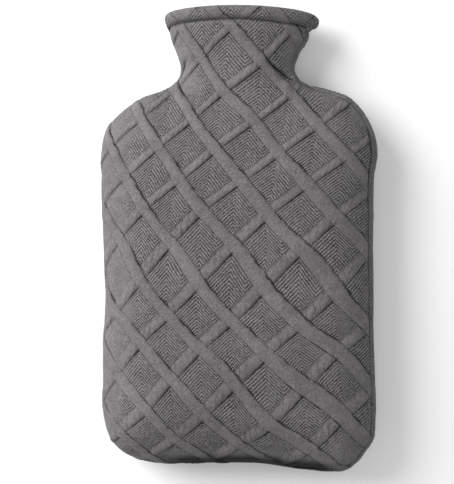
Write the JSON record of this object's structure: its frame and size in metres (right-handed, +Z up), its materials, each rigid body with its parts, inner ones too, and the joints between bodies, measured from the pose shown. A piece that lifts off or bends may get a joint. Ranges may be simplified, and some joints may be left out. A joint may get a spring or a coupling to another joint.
{
  "type": "hot water bottle cover",
  "caption": "Knitted cover shaped like a filled hot water bottle, with a narrow neck, a thick hem at its open mouth and a raised diamond lattice.",
  "frame": {"origin": "middle of the cover's box in X and Y, on the surface it lies on", "axes": "+X across the cover to its right as seen from the front, +Y from the base to the mouth, +Z up out of the front panel"},
  "size_m": [0.2017, 0.3382, 0.0616],
  "materials": {
    "knit": "matt, soft knit"
  },
  "bodies": {
    "root": {"front_panel": "knit", "back_panel": "knit"}
  },
  "joints": []
}
